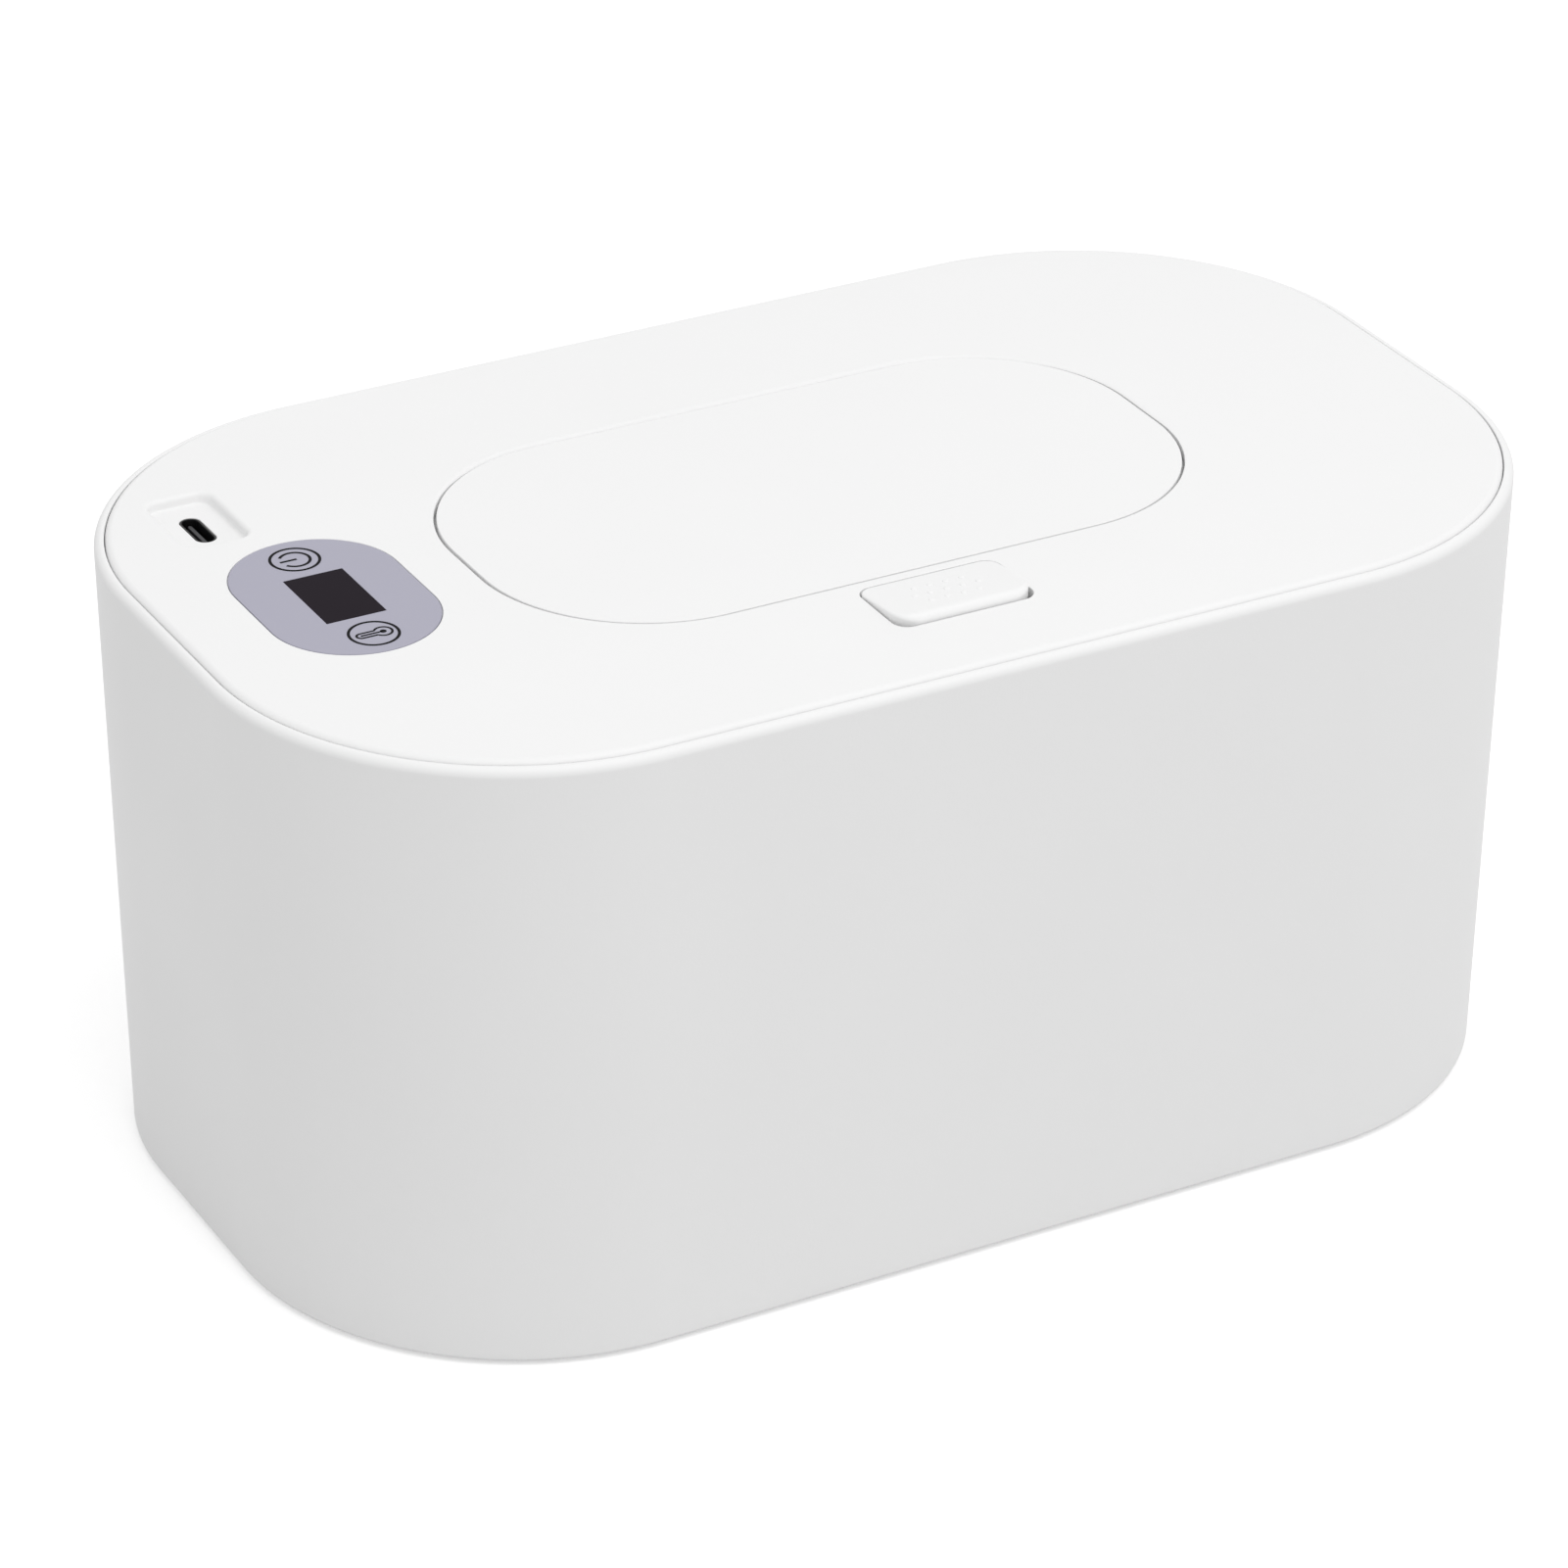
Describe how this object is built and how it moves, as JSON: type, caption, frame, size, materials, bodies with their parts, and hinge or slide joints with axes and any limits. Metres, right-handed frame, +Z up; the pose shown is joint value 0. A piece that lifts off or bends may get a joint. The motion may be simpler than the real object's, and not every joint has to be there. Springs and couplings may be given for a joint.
{
  "type": "baby wipe warmer",
  "caption": "Rounded rectangular wipe warmer: a tub with a flush lift-off lid that holds a heater, a hinged flap over the dispensing mouth, a release button and a touch panel.",
  "frame": {"origin": "on the surface that the warmer stands on, under the middle of the tub", "axes": "+X along the length, away from the end with the control panel; +Y to the side with the flap's hinge; +Z up"},
  "size_m": [0.215, 0.13, 0.1029],
  "materials": {
    "shell_white": "fine matt texture, moulded",
    "silicone_grey": "matt silicone",
    "silicone_white": "matt silicone",
    "screw_steel": "plated",
    "heater_aluminium": "rolled sheet",
    "heating_film": "amber film",
    "insulation_foam": "felt",
    "chip_black": "moulded",
    "cutoff_ceramic": "glazed",
    "lead_red": "silicone insulation",
    "lead_black": "silicone insulation",
    "board_green": "solder mask",
    "connector_nylon": "nylon",
    "display_housing": "moulded",
    "display_window": "smoked window, display off",
    "panel_film": "satin printed film",
    "switch_black": "moulded",
    "switch_stem": "moulded",
    "port_shell": "black plated",
    "port_core": "moulded",
    "pin_steel": "drawn",
    "spring_steel": "drawn wire",
    "latch_acetal": "acetal"
  },
  "bodies": {
    "tub": {"tub": "shell_white", "foot_pads": "silicone_grey"},
    "flap": {"flap_cover": "shell_white", "flap_liner": "shell_white", "flap_gasket": "silicone_white"},
    "button": {"release_button": "shell_white"},
    "latch": {"latch_slider": "latch_acetal", "latch_spring": "spring_steel"},
    "power_key": {"power_switch_stem": "switch_stem"},
    "temperature_key": {"temperature_switch_stem": "switch_stem"},
    "lid": {"lid_cover": "shell_white", "lid_inner_cover": "shell_white", "lid_seal": "silicone_white", "inner_cover_screws": "screw_steel", "mouth_membrane": "silicone_white", "mouth_frame": "shell_white", "heater_plate": "heater_aluminium", "heating_film": "heating_film", "insulation_pad": "insulation_foam", "thermistor": "chip_black", "thermal_cutoff": "cutoff_ceramic", "heater_leads": "lead_red", "sensor_leads": "lead_black", "power_board": "board_green", "power_chips": "chip_black", "lead_connector": "connector_nylon", "board_header": "chip_black", "control_board": "board_green", "control_chips": "chip_black", "board_screws": "screw_steel", "display_module": "display_housing", "display_window": "display_window", "panel_film": "panel_film", "power_switch_case": "switch_black", "temperature_switch_case": "switch_black", "usb_shell": "port_shell", "usb_core": "port_core", "hinge_pin": "pin_steel", "hinge_spring": "spring_steel", "button_springs": "spring_steel", "latch_guide": "latch_acetal", "guide_screws": "screw_steel"}
  },
  "joints": [
    {"name": "lid_lift", "type": "slide", "parent": "tub", "child": "lid", "axis": [0, 0, 1], "range_m": [0, 0.06]},
    {"name": "flap_hinge", "type": "hinge", "parent": "lid", "child": "flap", "pos_m": [0, 0.0365, 0.098], "axis": [-1, 0, 0], "range_deg": [0, 100]},
    {"name": "button_press", "type": "slide", "parent": "lid", "child": "button", "axis": [0, 0, -1], "range_m": [0, 0.0016], "stiffness_N_per_m": 500, "deforming": ["button_springs"]},
    {"name": "latch_slide", "type": "slide", "parent": "lid", "child": "latch", "axis": [0, -1, 0], "range_m": [0, 0.0016], "stiffness_N_per_m": 150},
    {"name": "power_key_press", "type": "slide", "parent": "lid", "child": "power_key", "axis": [0, 0, -1], "range_m": [0, 0.00025], "stiffness_N_per_m": 800},
    {"name": "temperature_key_press", "type": "slide", "parent": "lid", "child": "temperature_key", "axis": [0, 0, -1], "range_m": [0, 0.00025], "stiffness_N_per_m": 800}
  ],
  "couplings": [
    {"joint": "latch_slide", "follows": "button_press", "ratio": 1}
  ]
}
